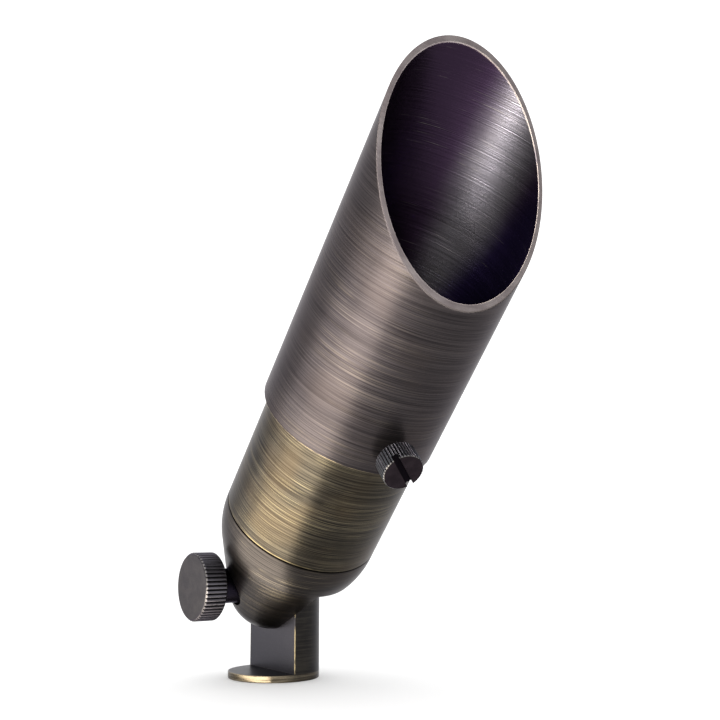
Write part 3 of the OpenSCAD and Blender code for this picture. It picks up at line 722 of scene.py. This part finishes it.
def buildKnob():
    shape = combine(screwHead(knob), screwShank(knob), "UNION")
    finish = gunMetal("knobMetal", knuckleFrame, knob)
    addPiece(
        "knuckleThumbScrew", shape, knuckleFrame, finish, "knuckle_screw", "knuckle_screw", 40
    )


def buildClampScrew():
    s = clampScrew
    top = s["back"] + s["height"]
    slot = turned(
        block((30, s["slotWidth"], 20), (0, 0, top - s["slotDepth"] + 10)),
        Matrix.Rotation(math.radians(s["slotTurn"]), 4, "Z"),
    )
    shape = combine(combine(screwHead(s), screwShank(s), "UNION"), slot, "DIFFERENCE")
    finish = gunMetal("clampMetal", clampFrame, s)
    addPiece(
        "shroudThumbScrew", shape, clampFrame, finish, "shroud_screw", "shroud_screw", 40
    )


buildKnob()
buildClampScrew()
print("screws made")


# The lamp inside the tube, its holder, and the soft pieces
reflector = {
    "neck": 8.5, "rear": 71.011, "middle": 94.267, "radius": 24.761, "wall": 1.8, "lip": 24.75,
    "lipRear": 95.011, "lipFront": 98.011, "hole": 4.55, "columns": 36, "rows": 11,
}
plainTones = {
    "mirrorCoat": ((0.80, 0.80, 0.83), (0.88, 0.87, 0.86)),
    "blackRubber": ((0.014, 0.014, 0.015), (0.045, 0.043, 0.040)),
    "brightZinc": ((0.46, 0.47, 0.50), (0.62, 0.62, 0.63)),
    "clearGlass": ((0.90, 0.95, 0.95), (0.96, 0.98, 0.97)),
    "frostedGlass": ((0.90, 0.88, 0.80), (0.96, 0.95, 0.90)),
    "whiteCeramic": ((0.78, 0.76, 0.71), (0.86, 0.85, 0.81)),
    "ceramicSpeck": (0.45, 0.41, 0.35),
    "whiteNylon": ((0.66, 0.65, 0.60), (0.76, 0.75, 0.71)),
}


def mirrorCoat():
    finish = Finish("mirrorCoat", Metallic=1.0)
    where = finish.place(lampFrame)
    cloud = finish.noise(where, (0.15, 0.15, 0.15), 3)
    grain = finish.noise(where, (2.0, 2.0, 2.0), 2)
    finish.feed(
        Base_Color=finish.mottle(cloud, plainTones["mirrorCoat"]),
        Roughness=(cloud - 0.5) * 0.08 + 0.10,
    )
    finish.bump(grain, 0.3, 0.01)
    return finish


def buildReflector():
    r = reflector
    start = math.asin(r["neck"] / r["radius"])
    stop = math.pi / 2 + math.asin((r["lipRear"] - r["middle"]) / r["radius"])
    outline = [(0, r["rear"]), (r["neck"], r["rear"])]
    for i in range(1, 24):
        a = start + (stop - start) * i / 24
        outline.append((r["radius"] * math.sin(a), r["middle"] - r["radius"] * math.cos(a)))
    outline += [(r["lip"], r["lipRear"]), (r["lip"], r["lipFront"]), (0, r["lipFront"])]
    bowl = r["radius"] - r["wall"]
    first = math.asin(r["hole"] / bowl)
    rings = [(r["hole"], r["rear"] - 1)]
    for i in range(r["rows"] + 1):
        a = first + (stop - first) * i / r["rows"]
        rings.append((bowl * math.sin(a), r["middle"] - bowl * math.cos(a)))
    rings.append((r["lip"] - r["wall"], r["lipFront"] + 1))
    hollow = bmesh.new()  # the bowl's inside, in triangular facets: every second ring is half a step round
    levels = []
    for level, (wide, height) in enumerate(rings):
        turns = [math.tau * (i + 0.5 * (level % 2)) / r["columns"] for i in range(r["columns"])]
        levels.append([hollow.verts.new((wide * math.cos(a), wide * math.sin(a), height)) for a in turns])
    for level, (low, high) in enumerate(zip(levels, levels[1:])):
        for i in range(r["columns"]):
            after = (i + 1) % r["columns"]
            if level % 2:
                hollow.faces.new((low[i], high[after], high[i]))
                hollow.faces.new((low[i], low[after], high[after]))
            else:
                hollow.faces.new((low[i], low[after], high[i]))
                hollow.faces.new((low[after], high[after], high[i]))
    for ring in (levels[0], levels[-1]):
        hollow.faces.new(ring)
    bmesh.ops.recalc_face_normals(hollow, faces=hollow.faces)
    shape = combine(lathe(outline, 128), hollow, "DIFFERENCE")
    addPiece("facetedReflector", shape, lampFrame, mirrorCoat(), "lamp", "reflector", 5)


def rubber():
    finish = Finish("blackRubber", Specular_IOR_Level=0.35)
    where = finish.place(footFrame)
    grain = finish.noise(where, (3.5, 3.5, 3.5), 3)
    dust = finish.noise(where, (0.4, 0.4, 0.4), 3, 0.6).step(0.45, 0.70)
    finish.feed(
        Base_Color=finish.mix(dust * 0.5, *plainTones["blackRubber"]),
        Roughness=(grain - 0.5) * 0.2 + 0.68,
    )
    finish.bump(grain, 0.5, 0.03)
    return finish


def zinc():
    finish = Finish("brightZinc", Metallic=1.0)
    where = finish.place(footFrame)
    spangle = finish.noise(where, (0.9, 0.9, 0.9), 2)
    rolled = finish.noise(where, (0.3, 4.0, 0.3), 3, 0.6)
    finish.feed(
        Base_Color=finish.mottle(spangle, plainTones["brightZinc"]),
        Roughness=(rolled - 0.5) * 0.2 + (spangle - 0.5) * 0.12 + 0.34,
    )
    finish.bump(rolled, 0.4, 0.02)
    return finish


def clearGlass():
    finish = Finish("clearGlass", IOR=1.5, Transmission_Weight=1.0)
    where = finish.place(lampFrame)
    smear = finish.noise(where, (0.12, 0.05, 0.12), 3, 0.6)
    specks = finish.noise(where, (1.6, 1.6, 1.6), 2).step(0.66, 0.74)
    finish.feed(
        Base_Color=finish.mix(smear.step(0.4, 0.7), *plainTones["clearGlass"]),
        Roughness=smear.step(0.48, 0.70) * 0.02 + specks * 0.08,
    )
    return finish


def frostedGlass():
    finish = Finish("frostedGlass", IOR=1.46, Transmission_Weight=0.7)
    where = finish.place(lampFrame)
    grain = finish.noise(where, (2.2, 2.2, 2.2), 3)
    cloud = finish.noise(where, (0.25, 0.25, 0.25), 2)
    finish.feed(
        Base_Color=finish.mottle(cloud, plainTones["frostedGlass"]),
        Roughness=(grain - 0.5) * 0.3 + 0.42,
    )
    finish.bump(grain, 0.4, 0.02)
    return finish


def ceramic():
    finish = Finish("whiteCeramic", Coat_Weight=0.4, Coat_Roughness=0.15)
    where = finish.place(lampFrame)
    cloud = finish.noise(where, (0.12, 0.12, 0.12), 3)
    specks = finish.noise(where, (1.3, 1.3, 1.3), 2).step(0.66, 0.72)
    colour = finish.mottle(cloud, plainTones["whiteCeramic"])
    finish.feed(
        Base_Color=finish.mix(specks * 0.5, colour, plainTones["ceramicSpeck"]),
        Roughness=(cloud - 0.5) * 0.2 + 0.34,
    )
    finish.bump(cloud + specks * 0.1, 0.4, 0.05)
    return finish


def nylon():
    finish = Finish("whiteNylon", Subsurface_Weight=0.15, Subsurface_Scale=0.001)
    where = finish.place(clampFrame)
    grain = finish.noise(where, (2.5, 2.5, 2.5), 3)
    finish.feed(
        Base_Color=finish.mottle(grain, plainTones["whiteNylon"]),
        Roughness=(grain - 0.5) * 0.2 + 0.55,
    )
    finish.bump(grain, 0.4, 0.02)
    return finish


buildReflector()
coat(
    rubber(), "foot_bushing", "cap_bushing", "cap_seal", "lens_gasket", "glide_seal_rear", "glide_seal_front"
)
coat(
    zinc(), "knuckle_washer", "lamp_pins", "socket_bridge", "bridge_screw_left", "bridge_screw_right",
    "socket_screw",
)
coat(clearGlass(), "lens", "cover_glass")
coat(frostedGlass(), "light_capsule")
coat(ceramic(), "lamp_base", "socket")
coat(nylon(), "clamp_pad")
print("lamp, holder and soft pieces made")

# Camera, floor and lights: places and sizes in mm
view = {
    "place": (361.46, -205.22, 58.26),
    "forward": (-0.8219, 0.5527, 0.1381),
    "lens": 55.42,
    "skyPower": 1.36,
}
camera = bpy.data.objects.new("camera", bpy.data.cameras.new("camera"))
bpy.context.collection.objects.link(camera)
camera.location = Vector(view["place"]) * mm
camera.rotation_mode = "QUATERNION"
camera.rotation_quaternion = Vector(view["forward"]).to_track_quat("-Z", "Y")
camera.data.lens = view["lens"]
camera.data.sensor_width = 36
camera.data.clip_start = 0.01
camera.data.clip_end = 60
bpy.context.scene.camera = camera

floorMesh = bmesh.new()
bmesh.ops.create_grid(floorMesh, x_segments=1, y_segments=1, size=12)
floorData = bpy.data.meshes.new("floor")
floorMesh.to_mesh(floorData)
floorMesh.free()
floor = bpy.data.objects.new("floor", floorData)
bpy.context.collection.objects.link(floor)
paper = Finish("floorPaper", Base_Color=(0.94, 0.94, 0.94, 1), Roughness=0.9, Specular_IOR_Level=0.2)
floorData.materials.append(paper.material)

world = bpy.data.worlds.new("studio")
world.use_nodes = True
world.node_tree.nodes["Background"].inputs[0].default_value = (1, 1, 1, 1)
world.node_tree.nodes["Background"].inputs[1].default_value = view["skyPower"]
bpy.context.scene.world = world


def softbox(name, look):
    data = bpy.data.lights.new(name, "AREA")
    data.shape = "RECTANGLE"
    data.size = look["size"][0] * mm
    data.size_y = look["size"][1] * mm
    data.energy = look["power"]
    data.color = look["colour"]
    data.spread = math.radians(look.get("spread", 180))
    lamp = bpy.data.objects.new(name, data)
    bpy.context.collection.objects.link(lamp)
    lamp.location = Vector(look["place"]) * mm
    lamp.rotation_mode = "QUATERNION"
    if "aim" in look:
        back = (Vector(look["place"]) - Vector(look["aim"])).normalized()
        side = Vector(look["up"]).cross(back).normalized()
        lamp.rotation_quaternion = Matrix((side, back.cross(side), back)).transposed().to_quaternion()
    else:  # lies flat and shines up
        flat = Matrix.Rotation(math.radians(look["turn"]), 4, "Z") @ Matrix.Rotation(math.pi, 4, "X")
        lamp.rotation_quaternion = flat.to_quaternion()
    lamp.visible_camera = False
    if "only" in look:  # a flagged light that reaches one piece
        lit = bpy.data.collections.new(name)
        lit.objects.link(bpy.data.objects[look["only"]])
        lamp.light_linking.receiver_collection = lit


lights = {
    "lowPanel": {
        "place": (69.6, -228.2, 0.2), "turn": -44.5, "size": (385, 235),
        "power": 2.5, "colour": (1.0, 0.93, 0.80),
    },
    "leftPanel": {
        "place": (-280, -610, 0.2), "turn": 0, "size": (500, 700),
        "power": 5.2, "colour": (1.0, 0.96, 0.90),
    },
    "farPanel": {
        "place": (-1300, -1500, 0.2), "turn": 0, "size": (1600, 1800),
        "power": 42.0, "colour": (1.0, 0.97, 0.95),
    },
    "mouthStrip": {
        "place": (310, -400, 108), "aim": (110, 0, 150), "up": (0.6646, 0, 0.7472), "size": (120, 280),
        "power": 0.9, "colour": (1.0, 0.99, 0.98), "spread": 28, "only": "glareShroud",
    },
    "deepStrip": {
        "place": (430, -314.5, 184.5), "aim": (105, 0, 140), "up": (0.6646, 0, 0.7472), "size": (60, 220),
        "power": 1.3, "colour": (1.0, 0.99, 0.98), "spread": 28, "only": "glareShroud",
    },
}
for name, look in lights.items():
    softbox(name, look)

bpy.context.scene.view_settings.view_transform = "Standard"
bpy.context.scene.view_settings.look = "None"
print("camera, floor and lights set")
